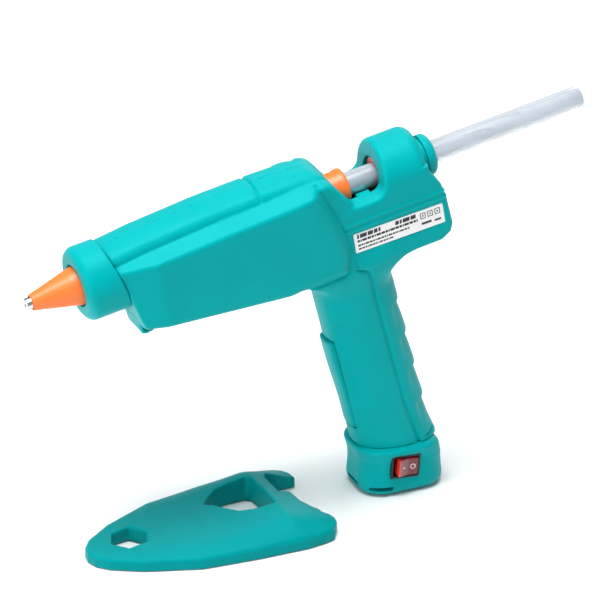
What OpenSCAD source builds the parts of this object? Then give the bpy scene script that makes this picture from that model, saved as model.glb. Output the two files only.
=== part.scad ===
// Hot-melt glue gun with its clip-on rest plate, as an assembly of separate pieces.
// Frame: origin at the centre of the foot's underside, +Z up, the nozzle points to -X.
// Most pieces are drawn in the barrel frame: t runs along the glue stick from the
// nozzle's mouth to the tail, n is square to it and upwards, y is the same as in the row.

/* [Glue stick] */
// Diameter of the glue stick
stick_d = 11.2; // [10.8:0.1:11.4]
// Length of the glue stick
stick_len = 234; // [150:1:250]
// Distance from the nozzle's mouth to the stick's front end
stick_start = 60; // [56:1:70]

/* [Barrel] */
// Nose-down tilt of the barrel when the gun stands on its foot
barrel_tilt = 9.94; // [9:0.01:11]
// Nozzle mouth, distance in front of the foot's centre
mouth_x = -191.7; // [-195:0.1:-188]
// Nozzle mouth, height above the floor
mouth_z = 135.8; // [132:0.1:140]
// Length of the nose collar
collar_len = 15; // [12:0.5:16]
// Outer radius of the nose collar
collar_r = 18.7; // [17:0.1:19.5]

/* [Body] */
// Half width across the raised cheeks
cheek_y = 21.5; // [20:0.1:23]
// Half width of the spine between the two top chamfers
spine_y = 13; // [11:0.5:15]
// Half width of the rear body and its hump
rear_y = 17.5; // [16:0.1:19]
// Wall thickness of the casing
wall = 2.5; // [2:0.1:3]

/* [Grip] */
// Rake of the grip from vertical, its lower end further back
grip_rake = 13.6; // [12:0.1:15]
// Half depth of the grip, front to back
grip_half_depth = 19; // [18:0.1:20]
// Half width of the grip
grip_half_width = 15.5; // [14.5:0.1:17]

/* [Foot] */
// Length of the foot
foot_len = 43; // [40:1:46]
// Width of the foot
foot_w = 35; // [33:1:38]
// Height of the foot cap
foot_h = 25; // [22:1:27]

/* [Feed] */
// Forward travel of the feed carriage
feed_travel = 11; // [8:0.5:11]

/* [Rest plate] */
// Length of the rest plate
plate_len = 120; // [110:1:125]
// Thickness of the rest plate at its rim
plate_t = 6; // [5:0.5:7]
// Height of the rest plate's crown
plate_crown = 13.5; // [10:0.5:15]

/* [Hidden] */
$fn = 48;

stick_r = stick_d / 2;
guide_r = stick_r + 0.35;          // bore radius of the pieces that guide the stick

teal = [0.0, 0.66, 0.66];
orange = [1.0, 0.45, 0.12];
red = [0.85, 0.12, 0.08];
steel = [0.75, 0.76, 0.78];

// Stations along the barrel
collar_t = 26.5;                   // front face of the nose collar
body_t = collar_t + collar_len;    // front of the body at its top
chamber_t0 = 30;
chamber_t1 = 112;
sleeve_end = 168.5;
hump_t0 = 182;
hump_t1 = 205;
rear_end = 213.5;
guide_end = 216;
floor_n = -3.5;                    // floor of the saddle window
trough_r = stick_r + 0.7;
hump_hole_r = 9.2;                 // the hump's front hole, which the carriage passes
front_slant = -atan2(9.5, 42);      // the body's front leans back towards its lower edge

function barrel_point(t, n) = [
    mouth_x + t * cos(barrel_tilt) - n * sin(barrel_tilt),
    mouth_z + t * sin(barrel_tilt) + n * cos(barrel_tilt)
];

function grip_point(x, h) = [
    grip_x + x * cos(grip_rake) - h * sin(grip_rake),
    grip_z + x * sin(grip_rake) + h * cos(grip_rake)
];

// Grip axis: it crosses this point and leans by grip_rake
grip_x = -16.4;
grip_z = 86.4;

// Trigger and feed lever
trigger_pivot = grip_point(-14, -44);   // X, Z of the trigger's pin
lever_t = 171.5;                   // the feed lever's pin, under the saddle window
lever_n = -44.3;
lever_pivot = barrel_point(lever_t, lever_n);
drive_n = -20;                     // the drive pin's place under the stick
drive_t = lever_t + feed_travel / 2;
lever_half_t = 2.5;
trigger_half_w = 6.5;
pin_len = 2 * grip_half_width - 11.8;   // the trigger's pin ends inside the grip's wall
push_arm = 21.75;                  // the feed lever's lower arm

// Rocker switch
switch_x = -1.2;
switch_z = 15.3;
switch_tilt = -5;
switch_y = -foot_w / 2;

// Rest plate on the floor
plate_pos = [-168, -18, 0];
plate_yaw = 3;

// ---------- frames ----------

module barrel() {
    translate([mouth_x, 0, mouth_z]) rotate([0, -barrel_tilt, 0]) children();
}

// Local +z runs up the grip's axis, x is its depth, y its width
module grip() {
    translate([grip_x, 0, grip_z]) rotate([0, -grip_rake, 0]) children();
}

// Turns a shape drawn about +z so that it runs along t
module along(t) {
    translate([t, 0, 0]) rotate([0, 90, 0]) children();
}

module across(x, z) {
    translate([x, 0, z]) rotate([90, 0, 0]) children();
}

module tube(r_out, r_in, len) {
    difference() {
        cylinder(r = r_out, h = len);
        translate([0, 0, -1]) cylinder(r = r_in, h = len + 2);
    }
}

// ---------- casing ----------

// Side outlines in (t, n); g shrinks them for the cavity
module side(points, half, g) {
    rotate([90, 0, 0])
        linear_extrude(height = 2 * (half - g), center = true)
            offset(delta = -g) polygon(points);
}

spine_outline = [
    [body_t, 18], [95, 20.5], [130, 20.5], [150, 18], [158, 10.5], [169, -7],
    [169, -38], [127, -36], [54, -29.5], [51, -24]
];
cheek_outline = [
    [60, 8], [143, 10.5], [150, -2], [154, -17], [154.5, -27], [151, -32.5],
    [127, -32.5], [60, -26], [56, -20]
];
rear_outline = [
    [150, floor_n], [208, floor_n], [211.5, -8], [rear_end, -16], [214.6, -31],
    [212, -35.5], [206.5, -38.5], [150, -38.5]
];

// Lip under the nose that a stand's wire or the rest plate hooks into
module hook_lip() {
    hull() {
        translate([51.5, -9, -32.5]) cube([6.5, 18, 6]);
        translate([54, -8, -34]) cube([4, 16, 4]);
    }
}

module hook_cuts() {
    translate([54.2, 0, -30.6]) rotate([90, 0, 0]) cylinder(r = 1.5, h = 40, center = true, $fn = 20);
    translate([54.2, -20, -32.1]) cube([8, 40, 3]);
}

module front_mass(g) {
    hull() {
        side(spine_outline, spine_y, g);
        side(cheek_outline, cheek_y, g);
    }
}

module rear_mass(g) {
    hull() {
        side(rear_outline, rear_y - 2, g);
        side([for (p = rear_outline) [p[0], p[1] * 0.88 - 2]], rear_y, g);
    }
}

module hump_mass(g) {
    hull() {
        along(hump_t0 + 4 + g) cylinder(r = rear_y - 0.5 - g, h = hump_t1 - hump_t0 - 6 - 2 * g);
        translate([hump_t0 + g, g - rear_y, floor_n - 8])
            cube([hump_t1 - hump_t0 + 6 - 2 * g, 2 * (rear_y - g), 8]);
    }
}

// An oval slice of the grip at height h along its axis
module grip_slice(h, depth, half_w, g, shift = 0) {
    translate([shift, 0, h])
        linear_extrude(height = 0.5)
            scale([(depth - g) / 10, (half_w - g) / 10]) circle(r = 10, $fn = 28);
}

module grip_mass(g) {
    grip() {
        hull() {
            grip_slice(-74, grip_half_depth, grip_half_width, g);
            grip_slice(20, grip_half_depth, grip_half_width, g);
        }
        hull() {
            grip_slice(20, grip_half_depth, grip_half_width, g);
            grip_slice(48, grip_half_depth + 9, grip_half_width + 1, g, 3);
        }
    }
}

module casing_outside() {
    barrel() {
        front_mass(0);
        hook_lip();
        rear_mass(0);
        hump_mass(0);
    }
    grip_mass(0);
}

module casing_inside() {
    barrel() {
        front_mass(wall);
        rear_mass(wall);
        hump_mass(wall);
        translate([150, wall - rear_y, -38]) cube([20, 2 * (rear_y - wall), 30]);
    }
    grip_mass(wall);
}

// Everything that both halves are cut for
module casing_cuts() {
    barrel() {
        along(collar_t) cylinder(r = 14.5, h = 40);
        along(150) cylinder(r = 8.8, h = 21);
        along(165) cylinder(r = trough_r, h = 25);
        translate([175, -3, -14]) cube([20, 6, 10]);
        along(hump_t0 - 4) cylinder(r = hump_hole_r, h = 12);
        along(hump_t1 - 4) cylinder(r = 9.3, h = 20);
        along(hump_t1 + 4) cylinder(r = 12.2, h = 20);
        hook_cuts();
    }
    trigger_slot();
    across(lever_pivot[0], lever_pivot[1]) cylinder(r = 2.1, h = 30, center = true, $fn = 24);
    across(trigger_pivot[0], trigger_pivot[1]) cylinder(r = 2.1, h = pin_len + 0.4, center = true, $fn = 24);
    translate([-60, -40, -30]) cube([120, 80, foot_h + 30.2]);
}

// Slot in the grip's front wall for the trigger
module trigger_slot() {
    grip() translate([-grip_half_depth - 12, -trigger_half_w - 0.7, -50]) cube([24, 2 * trigger_half_w + 1.4, 53.4]);
}

screw_spots = [[63, -25], [138, 12.2], [150, -30], [205, -30]];   // t, n
grip_screw_h = -42;                                                     // along the grip
boss_r = 3.2;

module at_screws() {
    for (s = screw_spots)
        barrel() translate([s[0], 0, s[1]]) rotate([90, 0, 0]) children();
    grip() translate([11, 0, grip_screw_h]) rotate([90, 0, 0]) children();
}

module half_block(side_sign) {
    translate([-260, side_sign > 0 ? 0.05 : -60.05, -20]) cube([400, 60, 260]);
}

// side_sign -1 is the left half, +1 the right half, which the screws enter
module casing_half(side_sign) {
    difference() {
        intersection() {
            casing_outside();
            half_block(side_sign);
        }
        difference() {
            casing_inside();
            at_screws() cylinder(r = boss_r, h = 80, center = true, $fn = 16);
            for (s = [-1, 1]) across(lever_pivot[0], lever_pivot[1])
                translate([0, 0, s * 25]) cylinder(r = 4, h = 40, center = true, $fn = 24);
        }
        casing_cuts();
        at_screws() cylinder(r = side_sign > 0 ? 1.7 : 1.35, h = 24, center = true, $fn = 16);
        if (side_sign > 0)
            at_screws() translate([0, 0, -11.25]) mirror([0, 0, 1]) cylinder(r = 3, h = 60, $fn = 16);
    }
}

module left_shell() {
    color(teal) casing_half(-1);
}

module right_shell() {
    color(teal) casing_half(1);
}

module nose_collar() {
    color(teal) barrel() difference() {
        along(collar_t)
            rotate_extrude()
                difference() {
                    union() {
                        square([collar_r - 4, 30]);
                        translate([0, 4]) square([collar_r, 26]);
                        translate([collar_r - 4, 4]) circle(r = 4);
                    }
                    translate([-1, -1]) square([10.3 + 1, 40]);
                    translate([-1, 4]) square([collar_r - 3 + 1, 40]);
                }
        translate([body_t - 0.3, -30, 18]) rotate([0, front_slant, 0]) translate([0, 0, -60]) cube([60, 60, 90]);
    }
}

module rear_guide() {
    color(teal) barrel() along(hump_t1 + 0.5)
        rotate_extrude()
            difference() {
                union() {
                    square([9, guide_end - hump_t1 - 0.5]);
                    translate([0, 4]) square([11.8, guide_end - hump_t1 - 6]);
                    translate([10.3, guide_end - hump_t1 - 2]) circle(r = 1.5);
                }
                translate([-1, -1]) square([guide_r + 1, 20]);
            }
}

module casing_screws() {
    color(steel) at_screws()
        translate([0, 0, -11.3])
            difference() {
                union() {
                    cylinder(r = 1.6, h = 21);
                    translate([0, 0, -1.7]) cylinder(r = 2.8, h = 1.72);
                }
                translate([-1.9, -0.35, -1.8]) cube([3.8, 0.7, 1]);
                translate([-0.35, -1.9, -1.8]) cube([0.7, 3.8, 1]);
            }
}

module rating_label() {
    color("white") barrel()
        translate([162.2, -rear_y - 0.4, -27.6]) rotate([0, 1, 0]) cube([47.2, 0.3, 10.4]);
}

// ---------- hot end ----------

module nozzle_tip() {
    color(steel) barrel() along(0)
        rotate_extrude()
            difference() {
                polygon([[0, 0], [2.5, 0], [3, 0.6], [3, 8], [7.4, 27], [7.4, 30], [5, 30], [5, 38], [0, 38]]);
                polygon([[-1, -1], [0.9, -1], [0.9, 20], [3.2, 26], [3.2, 39], [-1, 39]]);
            }
}

module nozzle_cover() {
    color(orange) barrel() along(3)
        rotate_extrude()
            polygon([
                [3.15, 0], [4, 0], [4.4, 0.5], [9.7, 24], [9.9, 26.5],
                [7.6, 26.5], [7.6, 24], [3.15, 5]
            ]);
}

module melt_chamber() {
    color([0.72, 0.73, 0.74]) barrel() difference() {
        union() {
            along(chamber_t0 + 0.1) cylinder(r = 10, h = chamber_t1 - chamber_t0);
            translate([58, -9, -20.5]) cube([46, 18, 16]);
            for (k = [0:4]) along(62 + 9 * k) cylinder(r = 11.2, h = 2);
        }
        along(chamber_t0 - 1) cylinder(r = 5.05, h = 9.2);
        along(chamber_t0 + 7) cylinder(r = 3.2, h = 8);
        along(45) cylinder(r = guide_r, h = 80);
        translate([56, -6.2, -18.4]) cube([50, 12.4, 5.6]);
    }
}

module heater_element() {
    color("white") barrel() translate([60, -6, -18.2]) cube([42, 12, 5.2]);
}

// Sheet clip that presses the heater housing, and carries the fuse
module heater_clip() {
    color(steel) barrel() difference() {
        translate([74, -10.2, -21.8]) cube([14, 20.4, 8.6]);
        translate([73, -9.15, -20.6]) cube([16, 18.3, 12]);
    }
}

module chamber_supports() {
    color([0.2, 0.2, 0.2]) barrel() for (t = [52.5, 106])
        along(t) tube(13.8, 10.05, 3);
}

module stick_sleeve() {
    color(orange) barrel() along(chamber_t1 + 0.3)
        rotate_extrude()
            difference() {
                union() {
                    square([8.5, sleeve_end - chamber_t1 - 0.8]);
                    square([8.1, sleeve_end - chamber_t1 - 0.3]);
                    square([11, 4]);
                }
                translate([-1, -1]) square([guide_r + 1, 70]);
            }
}

module sleeve_clip() {
    color(steel) barrel() along(118)
        rotate_extrude() translate([9.3, 0]) circle(r = 0.7, $fn = 24);
}

module thermal_fuse() {
    color([0.8, 0.75, 0.6]) barrel() translate([72, 0, -24.3]) rotate([0, 90, 0]) {
        cylinder(r = 2.2, h = 18);
        translate([0, 0, 17.9]) cylinder(r = 0.6, h = 8);
        translate([0, 0, -4.9]) cylinder(r = 0.6, h = 5);
    }
}

// ---------- stick and feed ----------

module glue_stick() {
    color([0.85, 0.88, 0.92, 0.7]) barrel() along(stick_start)
        rotate_extrude()
            polygon([
                [0, 0], [stick_r - 0.6, 0], [stick_r, 0.6], [stick_r, stick_len - 1],
                [stick_r - 1, stick_len], [0, stick_len]
            ]);
}

carriage_t = 184.5;                // front of the carriage's nose at rest
carriage_ring_t = 194.5;           // front of its closed ring

module feed_carriage() {
    color(red) barrel() difference() {
        union() {
            difference() {
                along(carriage_t) cylinder(r = 8.3, h = 12);
                translate([carriage_t - 1, -12, -20]) cube([11.2, 24, 20 + floor_n + 0.7]);
            }
            along(carriage_ring_t) cylinder(r = 8.7, h = 9);
            translate([carriage_ring_t, -5.5, -17]) cube([9, 11, 14]);
            translate([drive_t - 4.5, -5.5, -24]) cube([carriage_ring_t + 13.5 - drive_t, 11, 7.5]);
        }
        along(carriage_t - 1) cylinder(r = guide_r, h = 24);
        translate([drive_t - 6, -lever_half_t - 0.4, -26]) cube([12, 2 * lever_half_t + 0.8, 12]);
        translate([drive_t - 1.75, -10, drive_n - 2]) cube([3.5, 20, 4.6]);
        translate([carriage_ring_t + 1.2, -3.4, -16.5]) cube([6.6, 6.8, 12]);
        translate([carriage_ring_t + 4.5, 0, -13]) rotate([90, 0, 0]) cylinder(r = 1.25, h = 20, center = true);
    }
}

module jaw_pin() {
    color(steel) barrel() translate([carriage_ring_t + 4.5, 0, -13]) rotate([90, 0, 0])
        cylinder(r = 1.2, h = 10.6, center = true);
}

// Toothed jaw that bites the stick from below
module clamp_jaw() {
    color(steel) barrel() difference() {
        translate([carriage_ring_t + 4.5, 3, -13]) rotate([90, 0, 0])
            linear_extrude(height = 6)
                union() {
                    circle(r = 2.6);
                    polygon([[-2.2, 0], [2.2, 0], [1.6, 5.2], [0.8, 6.3], [0, 5.4], [-0.8, 6.3], [-1.6, 5.2]]);
                }
        translate([carriage_ring_t + 4.5, 0, -13]) rotate([90, 0, 0]) cylinder(r = 1.26, h = 20, center = true);
    }
}

// Rocking lever that turns the trigger's push back into a push forwards on the carriage
drive_point = barrel_point(drive_t, drive_n);
drive_arc = 2 * atan2(drive_t - lever_t, drive_n - lever_n);
push_point = lever_pivot - push_arm * [sin(drive_arc / 2), cos(drive_arc / 2)];

module feed_lever() {
    color(steel) difference() {
        union() {
            plate_bar(lever_pivot, drive_point, 4, 3.2);
            plate_bar(lever_pivot, push_point, 4, 2.4);
        }
        across(lever_pivot[0], lever_pivot[1]) cylinder(r = 2.05, h = 30, center = true);
        across(drive_point[0], drive_point[1]) cylinder(r = 1.45, h = 30, center = true);
    }
}

// Flat bar with round ends between two X, Z points
module plate_bar(a, b, ra, rb) {
    d = [b[0] - a[0], b[1] - a[1]];
    len = norm(d);
    translate([a[0], lever_half_t, a[1]]) rotate([90, 0, 0]) rotate([0, 0, atan2(d[1], d[0])])
        linear_extrude(height = 2 * lever_half_t)
            union() {
                circle(r = ra);
                translate([len, 0]) circle(r = rb);
                polygon([[0, -ra], [len, -rb], [len, rb], [0, ra]]);
            }
}

module lever_pin() {
    color(steel) across(lever_pivot[0], lever_pivot[1])
        cylinder(r = 2, h = 2 * (rear_y - wall) - 0.6, center = true);
}

module drive_pin() {
    color(steel) barrel() translate([drive_t, 0, drive_n]) rotate([90, 0, 0])
        cylinder(r = 1.45, h = 10.4, center = true);
}

// Squeeze lever in the grip's front, with a push arm inside
module trigger() {
    color(teal) difference() {
        union() {
            grip() translate([0, trigger_half_w, 0]) rotate([90, 0, 0])
                linear_extrude(height = 2 * trigger_half_w) polygon([
                    [-19.5, -48], [-20.6, -2], [-20.2, 0.8], [-18.6, 2.2], [-16.4, 1], [-15.4, -4], [-14.6, -46]
                ]);
            trigger_push_arm();
            across(trigger_pivot[0], trigger_pivot[1]) cylinder(r = 4, h = 2 * trigger_half_w, center = true);
        }
        across(trigger_pivot[0], trigger_pivot[1]) cylinder(r = 2.05, h = 40, center = true);
        across(trigger_pivot[0], trigger_pivot[1]) cylinder(r = 4.4, h = 7.4, center = true);
    }
}

module trigger_push_arm() {
    root = grip_point(-18, -8);
    tip = push_point - [2.9, 0];   // half a millimetre short of the lever
    translate([0, lever_half_t, 0]) rotate([90, 0, 0])
        linear_extrude(height = 2 * lever_half_t)
            polygon([
                root, root + [6, -3], [tip[0] - 1, tip[1] - 8], [tip[0], tip[1] - 4], [tip[0], tip[1] + 0.5],
                [tip[0] - 2, tip[1] + 3], [tip[0] - 5, tip[1] + 3], grip_point(-18, 0)
            ]);
}

module trigger_pin() {
    color(steel) across(trigger_pivot[0], trigger_pivot[1])
        cylinder(r = 2, h = pin_len, center = true);
}

// Torsion spring round the trigger's pin
spring_r = 3.3;
spring_wire = 0.45;
spring_turns = 5;
spring_pitch = 1.3;
spring_steps = 20;
spring_sides = 8;

function spring_point(i) =
    let (a = 360 * i / spring_steps)
    [spring_r * cos(a), spring_r * sin(a), spring_pitch * i / spring_steps];

module return_spring() {
    count = spring_turns * spring_steps;
    rings = [
        for (i = [0:count]) for (k = [0:spring_sides - 1])
            let (a = 360 * i / spring_steps, b = 360 * k / spring_sides, p = spring_point(i))
            [p[0] + spring_wire * cos(b) * cos(a), p[1] + spring_wire * cos(b) * sin(a), p[2] + spring_wire * sin(b)]
    ];
    walls = [
        for (i = [0:count - 1]) for (k = [0:spring_sides - 1])
            let (j = (k + 1) % spring_sides)
            [i * spring_sides + k, i * spring_sides + j, (i + 1) * spring_sides + j, (i + 1) * spring_sides + k]
    ];
    first_cap = [[for (k = [spring_sides - 1:-1:0]) k]];
    last_cap = [[for (k = [0:spring_sides - 1]) count * spring_sides + k]];
    color(steel) across(trigger_pivot[0], trigger_pivot[1])
        translate([0, 0, -spring_turns * spring_pitch / 2])
            polyhedron(points = rings, faces = concat(walls, first_cap, last_cap), convexity = 8);
}

// ---------- foot and electrics ----------

vent_z = 3.1;                      // the vent slots lie just above the cap's floor
vent_h = 1.8;

module foot_outline(g) {
    r = 13 - g;
    hx = foot_len / 2 - g - r;
    hy = foot_w / 2 - g - r;
    union() {
        for (sx = [-1, 1]) for (sy = [-1, 1]) translate([sx * hx, sy * hy]) circle(r = r);
        square([2 * hx, 2 * (hy + r)], center = true);
        square([2 * (hx + r), 2 * hy], center = true);
    }
}

module base_cap() {
    color(teal) difference() {
        union() {
            linear_extrude(height = 3) foot_outline(1);
            translate([0, 0, 3]) linear_extrude(height = foot_h - 5) foot_outline(0);
            translate([0, 0, foot_h - 2]) linear_extrude(height = 2) foot_outline(1);
        }
        translate([0, 0, 3]) linear_extrude(height = foot_h) foot_outline(3);
        switch_frame() translate([-7.2, -4, -5.7]) cube([14.4, 20, 11.4]);
        translate([10, 0, 11]) rotate([0, 90, 0]) cylinder(r = 6.05, h = 20);
        translate([-18, -20, vent_z]) cube([11, 6, vent_h]);
        translate([-24, -5.5, vent_z]) cube([6, 11, vent_h]);
    }
}

// Local x, z lie in the switch's face, -y points out of it
module switch_frame() {
    translate([switch_x, switch_y, switch_z]) rotate([0, -switch_tilt, 0]) children();
}

module switch_housing() {
    color([0.08, 0.08, 0.08]) switch_frame() difference() {
        union() {
            translate([-7.7, -0.6, -6.2]) cube([15.4, 0.55, 12.4]);
            translate([-7, -0.1, -5.5]) cube([14, 12, 11]);
        }
        translate([-6.4, -2, -4.9]) cube([12.8, 9.5, 9.8]);
    }
}

// The rocker is stored in its off position, its near end standing proud
rocker_pivot_y = 2.8;
rocker_tilt = 11;

module rocker() {
    color([0.5, 0.05, 0.05]) switch_frame() translate([0, rocker_pivot_y, 0]) rotate([0, 0, rocker_tilt])
        difference() {
            translate([0, 0, -4.5]) linear_extrude(height = 9)
                polygon([[-5.4, -4.9], [-5, -5.1], [0, -4.2], [5, -5.1], [5.4, -4.9], [4.2, 1.8], [-4.2, 1.8]]);
            translate([0, 0, -5]) cylinder(r = 0.9, h = 10);
        }
}

module terminal_block() {
    color([0.9, 0.9, 0.85]) difference() {
        translate([-6, 5, 5]) cube([16, 8, 9]);
        for (k = [0:2]) translate([-3.5 + 5.5 * k, 9, 6]) cylinder(r = 1.4, h = 10);
    }
}

// Leads from the terminal block up the grip to the heater, clipped to the casing
wire_r = 0.9;
wire_route = [
    barrel_point(107, -23.5), barrel_point(156, -23.5), grip_point(2, 36), grip_point(2, -64)
];

module lead_wires() {
    color([0.9, 0.3, 0.2]) for (y = [8.6, 11]) {
        for (i = [0:2]) wire_run(wire_route[i], wire_route[i + 1], y);
        for (i = [1:2]) translate([wire_route[i][0], y, wire_route[i][1]]) sphere(r = 1.15 * wire_r);
    }
}

module wire_run(a, b, y) {
    d = b - a;
    translate([a[0], y, a[1]]) rotate([0, 90 - atan2(d[1], d[0]), 0]) cylinder(r = wire_r, h = norm(d));
}

module cord_gland() {
    color([0.1, 0.1, 0.1]) translate([13.5, 0, 11]) rotate([0, 90, 0])
        tube(6, 3.6, foot_len / 2 - 13.5 - 0.1);
}

// ---------- rest plate ----------

// Half of the plate's rim in its own x, y; the whole one is mirrored
plate_edge = [
    [0, 0], [1.5, 6], [6, 11.5], [20, 20.5], [46, 31], [75, 34.5], [100, 36],
    [110, 35], [plate_len - 4, 33.5], [plate_len, 31], [plate_len + 2.2, 27], [plate_len + 2.5, 22]
];
notch_outline = [
    [104, 3.4], [110.2, 3.6], [110.7, -6.8], [114.4, -12], [117, -13.5], [117.3, -16.5], [120.2, -19], [121, -23],
    [120, -27], [117, -31], [115, -33], [plate_len + 10, -33], [plate_len + 10, 22], [112, 22], [107, 23.5],
    [104.4, 20]
];
window_outline = [
    [67.5, 11], [72, 15.5], [78, 19.6], [85, 20.8], [94.5, 20.8], [97, 18.5], [97, 2], [95.8, -9], [85, -9.5],
    [79, -6.5], [75, -0.5], [71, 7]
];
crown_outline = [[92, 24], [97, 24], [101.5, 19], [101.5, -8], [96, -12.5], [92, -12]];

function mirrored(points) = concat(points, [for (i = [len(points) - 1:-1:0]) [points[i][0], -points[i][1]]]);

module rest_plate() {
    color(teal) translate(plate_pos) rotate([0, 0, plate_yaw]) difference() {
        hull() {
            linear_extrude(height = plate_t) polygon(mirrored(plate_edge));
            linear_extrude(height = plate_crown) polygon(crown_outline);
        }
        translate([22.8, 1.5, -1]) rotate([0, 0, 5]) cylinder(r = 9.6, h = 20, $fn = 6);
        translate([0, 0, -1]) linear_extrude(height = 20) polygon(window_outline);
        translate([0, 0, -1]) linear_extrude(height = 20) polygon(notch_outline);
    }
}

left_shell();
right_shell();
nose_collar();
nozzle_cover();
nozzle_tip();
melt_chamber();
chamber_supports();
heater_element();
heater_clip();
stick_sleeve();
sleeve_clip();
thermal_fuse();
rear_guide();
casing_screws();
base_cap();
switch_housing();
terminal_block();
lead_wires();
cord_gland();
rating_label();
trigger();
trigger_pin();
return_spring();
feed_lever();
lever_pin();
feed_carriage();
drive_pin();
clamp_jaw();
jaw_pin();
rocker();
glue_stick();
rest_plate();
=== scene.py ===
import math

import bmesh
import bpy
import numpy as np
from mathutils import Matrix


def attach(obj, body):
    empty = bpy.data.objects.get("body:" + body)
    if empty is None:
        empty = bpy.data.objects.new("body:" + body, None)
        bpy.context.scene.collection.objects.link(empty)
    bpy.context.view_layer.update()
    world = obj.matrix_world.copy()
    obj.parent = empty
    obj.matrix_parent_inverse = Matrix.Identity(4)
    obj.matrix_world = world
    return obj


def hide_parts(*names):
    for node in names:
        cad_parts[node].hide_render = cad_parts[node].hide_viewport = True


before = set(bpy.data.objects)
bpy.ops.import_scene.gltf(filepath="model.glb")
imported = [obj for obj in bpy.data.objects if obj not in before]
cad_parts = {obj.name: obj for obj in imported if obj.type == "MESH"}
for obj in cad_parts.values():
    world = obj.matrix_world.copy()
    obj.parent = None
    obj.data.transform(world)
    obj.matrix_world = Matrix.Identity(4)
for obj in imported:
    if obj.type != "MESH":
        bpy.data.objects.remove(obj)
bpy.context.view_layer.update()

import openvdb
from mathutils import Matrix, Vector

# The visible skin of a hot-melt glue gun and its rest plate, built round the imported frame.
# Shapes are worked out in millimetres in three local frames, then placed in metres:
#   barrel frame (t, y, n): t runs from the nozzle's mouth along the stick, n is upwards;
#   grip frame (x, y, h): h runs up the grip's axis, x points to the back of the hand;
#   row frame: the foot stands on z = 0.
# The moulded pieces are signed distance fields: negative inside, in millimetres.

MM = 0.001
STEP = 0.42     # sample spacing of the large fields
FINE_STEP = 0.3  # sample spacing of the small fields

BARREL_TILT = math.radians(9.94)
MOUTH = (-191.7, 135.8)                 # x, z of the nozzle's mouth
GRIP_RAKE = math.radians(13.6)
GRIP_ORIGIN = (-16.4, 86.4)             # x, z of the grip frame's origin
WALL = 2.5


# ---------- frames ----------

def frame_matrix(origin, angle):
    """Local (u, y, w) in millimetres to the row frame in metres; u is tilted up by angle."""
    c, s = math.cos(angle), math.sin(angle)
    turn = Matrix(((c, 0, -s, 0), (0, 1, 0, 0), (s, 0, c, 0), (0, 0, 0, 1)))
    return Matrix.Scale(MM, 4) @ Matrix.Translation((origin[0], 0, origin[1])) @ turn


BARREL = frame_matrix(MOUTH, BARREL_TILT)
GRIP = frame_matrix(GRIP_ORIGIN, GRIP_RAKE)
ROW = Matrix.Scale(MM, 4)
BARREL_TO_GRIP = GRIP.inverted() @ BARREL
BARREL_TO_ROW = ROW.inverted() @ BARREL


def convert(matrix, u, y, w):
    """Coordinate arrays of another frame, for two frames that share the y axis."""
    m = matrix
    return (m[0][0] * u + m[0][2] * w + m[0][3], y, m[2][0] * u + m[2][2] * w + m[2][3])


# ---------- distance fields ----------

def smax(a, b, r):
    """Where both a and b hold: an outside edge rounded over r."""
    h = np.maximum(r - np.abs(a - b), 0)
    return np.maximum(a, b) + h * h / (4 * r)


def smin(a, b, r):
    """a and b joined: an inside corner filled over r."""
    h = np.maximum(r - np.abs(a - b), 0)
    return np.minimum(a, b) - h * h / (4 * r)


def round_max(a, b, r):
    """Like smax, with a true arc of radius r."""
    far = np.sqrt(np.maximum(a + r, 0) ** 2 + np.maximum(b + r, 0) ** 2)
    return np.where(np.maximum(a, b) < -r, np.maximum(a, b), far + np.minimum(np.maximum(a, b) + r, 0) - r)


def side_of(u, w, p, q):
    """Distance from the line p to q, positive on its left."""
    dx, dy = q[0] - p[0], q[1] - p[1]
    return (dx * (w - p[1]) - dy * (u - p[0])) / math.hypot(dx, dy)


def radius(u, w, centre):
    """Distance from a point of the (u, w) plane."""
    return np.sqrt((u - centre[0]) ** 2 + (w - centre[1]) ** 2)


def polygon(points, u, w):
    """Distance from a closed outline."""
    u, w = np.broadcast_arrays(u, w)
    nearest = np.full(u.shape, 1e9, np.float32)
    inside = np.zeros(u.shape, bool)
    for (ax, ay), (bx, by) in zip(points, points[1:] + points[:1]):
        ex, ey = bx - ax, by - ay
        k = np.clip(((u - ax) * ex + (w - ay) * ey) / (ex * ex + ey * ey), 0, 1)
        nearest = np.minimum(nearest, (u - ax - k * ex) ** 2 + (w - ay - k * ey) ** 2)
        crosses = (ay > w) != (by > w)
        if ey:
            inside ^= crosses & (u < ax + (w - ay) * ex / ey)
    return np.where(inside, -1, 1).astype(np.float32) * np.sqrt(nearest)


def ramp(x, low, high):
    """0 below low, 1 above high, smooth between."""
    k = np.clip((x - low) / (high - low), 0, 1)
    return k * k * (3 - 2 * k)


def between(x, stations, values):
    """A value that goes straight from station to station."""
    return np.interp(x, stations, values).astype(np.float32)


class Block:
    """A box of sample points. a, b and c are its three coordinate arrays."""

    def __init__(self, low, high, step):
        self.step = step
        self.low = np.array(low, float) - 2.5 * step
        axes = [
            np.arange(l, h + 2.5 * step, step, dtype=np.float32)
            for l, h in zip(self.low, high)
        ]
        self.a = axes[0][:, None, None]
        self.b = axes[1][None, :, None]
        self.c = axes[2][None, None, :]
        self.shape = tuple(len(x) for x in axes)

    def surface(self, name, field, matrix, adaptivity=0.0):
        """The field's zero surface as a smooth-shaded object."""
        band = 3 * self.step
        values = np.ascontiguousarray(np.broadcast_to(field, self.shape), np.float32)
        grid = openvdb.FloatGrid(background=band)
        grid.copyFromArray(np.clip(values, -band, band), tolerance=0.0)
        points, triangles, quads = grid.convertToPolygons(isovalue=0.0, adaptivity=adaptivity)
        points = points.astype(float) * self.step + self.low
        faces = [q[::-1] for q in quads.tolist()] + [t[::-1] for t in triangles.tolist()]
        return mesh_object(name, points, faces, matrix)


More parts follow.
